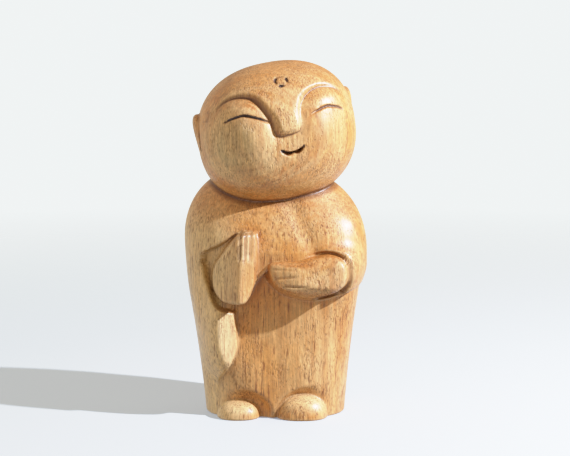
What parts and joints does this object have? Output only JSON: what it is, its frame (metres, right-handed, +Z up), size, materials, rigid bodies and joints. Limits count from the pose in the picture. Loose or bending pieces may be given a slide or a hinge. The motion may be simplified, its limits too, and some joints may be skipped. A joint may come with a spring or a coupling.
{
  "type": "wooden jizo statue",
  "caption": "Carved wooden jizo statue: a small standing monk with a tilted round head, folded arms under draped sleeves and a flat base that stands by its own weight.",
  "frame": {"origin": "on the flat underside, below the middle of the statue's bounding box", "axes": "+Z up to the crown, -Y is the front, which the figure faces, +X to the right as seen from the front"},
  "size_m": [0.1038, 0.0772, 0.2],
  "materials": {
    "wood": "waxed light wood, satin, with fine dark pores"
  },
  "bodies": {
    "root": {"jizo_statue": "wood"}
  },
  "joints": []
}
